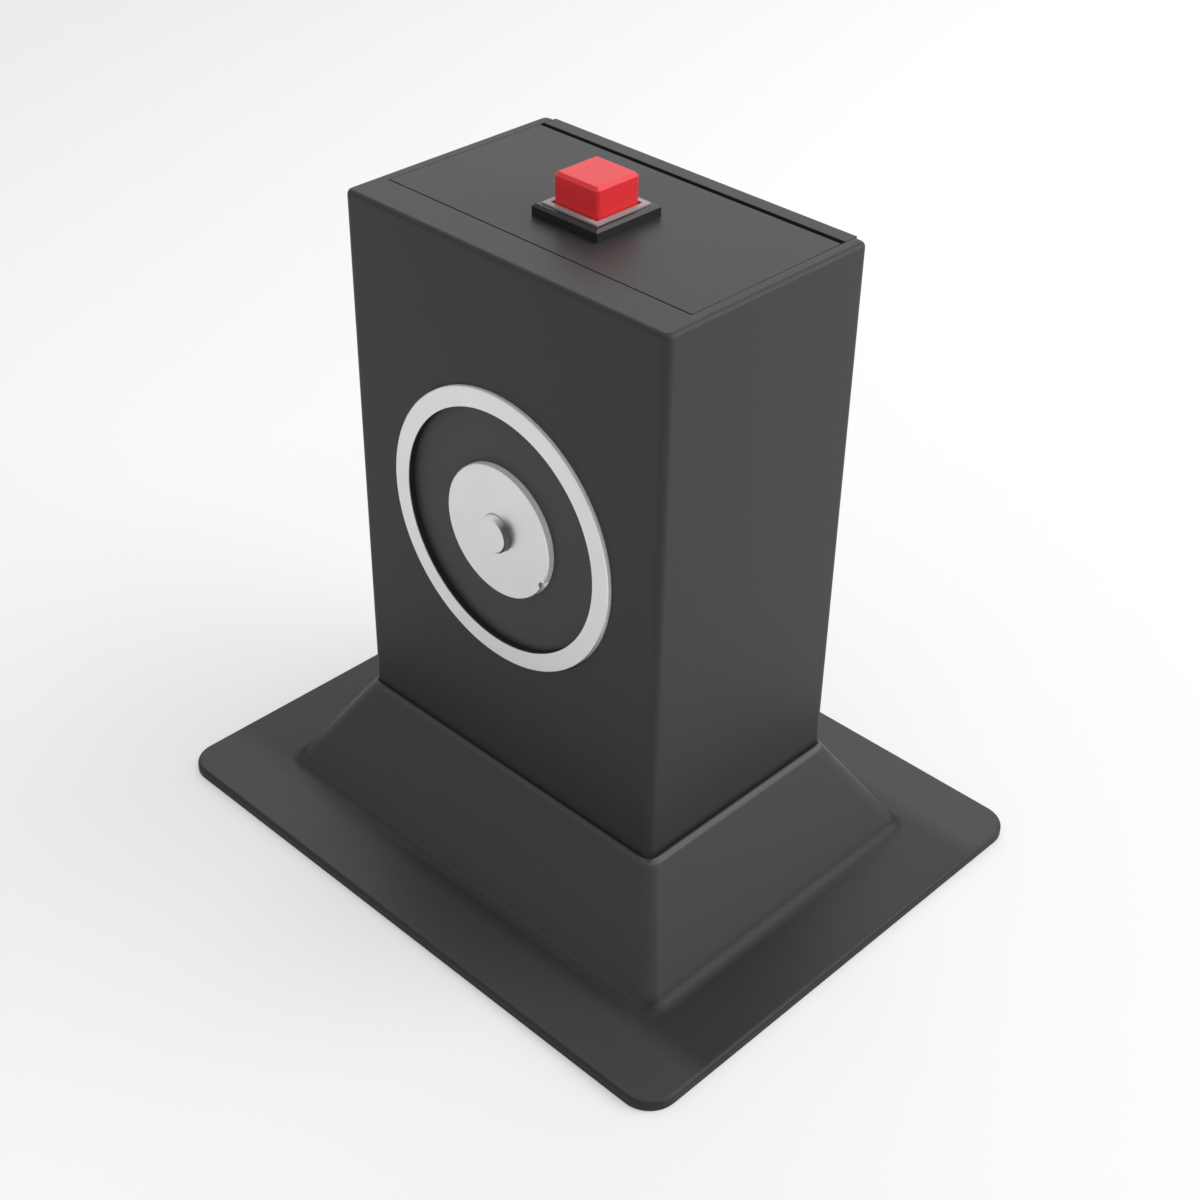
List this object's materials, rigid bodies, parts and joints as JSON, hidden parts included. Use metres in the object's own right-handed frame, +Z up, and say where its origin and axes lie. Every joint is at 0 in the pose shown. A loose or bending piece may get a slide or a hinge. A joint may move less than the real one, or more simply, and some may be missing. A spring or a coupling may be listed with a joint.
{
  "type": "electromagnetic door holder",
  "caption": "Floor-standing electromagnetic door holder: box housing on a sloping plinth, pot magnet with sprung ejector pin in the front, square release button on top.",
  "frame": {"origin": "middle of the underside of the plinth, on the floor", "axes": "+Z up, the magnet's face looks along -Y, +X is to the right for someone who faces the magnet"},
  "size_m": [0.1344, 0.1076, 0.138],
  "materials": {
    "housing_moulding": "satin charcoal moulding",
    "pole_steel": "bright nickel plate, fine turned grain",
    "plated_steel": "zinc plate",
    "black_steel": "black oxide",
    "spring_steel": "bright",
    "potting_resin": "matt black resin",
    "bobbin_plastic": "matt",
    "copper_wire": "enamelled copper",
    "button_red": "glossy red",
    "bezel_black": "satin black",
    "switch_grey": "light grey",
    "contact_brass": "bright",
    "board_green": "solder mask",
    "terminal_green": "moulded",
    "plug_white": "moulded",
    "diode_black": "moulded",
    "wire_insulation": "satin"
  },
  "bodies": {
    "housing": {"plinth": "housing_moulding", "floor_plate": "plated_steel", "housing_shell": "housing_moulding", "top_panel": "housing_moulding", "rear_cover": "housing_moulding", "rear_cover_screws": "black_steel", "base_screws": "plated_steel", "magnet_bracket": "plated_steel", "bracket_bolts": "plated_steel", "bracket_washers": "plated_steel", "magnet_pot": "pole_steel", "magnet_core": "pole_steel", "magnet_screws": "black_steel", "coil_bobbin": "bobbin_plastic", "coil_winding": "copper_wire", "potting_ring": "potting_resin", "ejector_spring": "spring_steel", "button_bezel": "bezel_black", "switch_body": "switch_grey", "switch_spring": "spring_steel", "switch_clip": "bezel_black", "switch_blades": "contact_brass", "switch_leads": "wire_insulation", "switch_plug": "plug_white", "circuit_board": "board_green", "board_standoffs": "plated_steel", "board_screws": "plated_steel", "terminal_block": "terminal_green", "terminal_screws": "plated_steel", "suppression_diode": "diode_black", "magnet_leads": "wire_insulation"},
    "button": {"button_cap": "button_red", "switch_plunger": "switch_grey"},
    "ejector": {"ejector_pin": "pole_steel", "ejector_clip": "spring_steel"}
  },
  "joints": [
    {"name": "button_press", "type": "slide", "parent": "housing", "child": "button", "axis": [0, 0, -1], "range_m": [0, 0.002], "stiffness_N_per_m": 800, "springref_m": -0.002, "deforming": ["switch_spring"]},
    {"name": "ejector_press", "type": "slide", "parent": "housing", "child": "ejector", "axis": [0, 1, 0], "range_m": [0, 0.0015], "stiffness_N_per_m": 2000, "springref_m": -0.003, "deforming": ["ejector_spring"]}
  ]
}
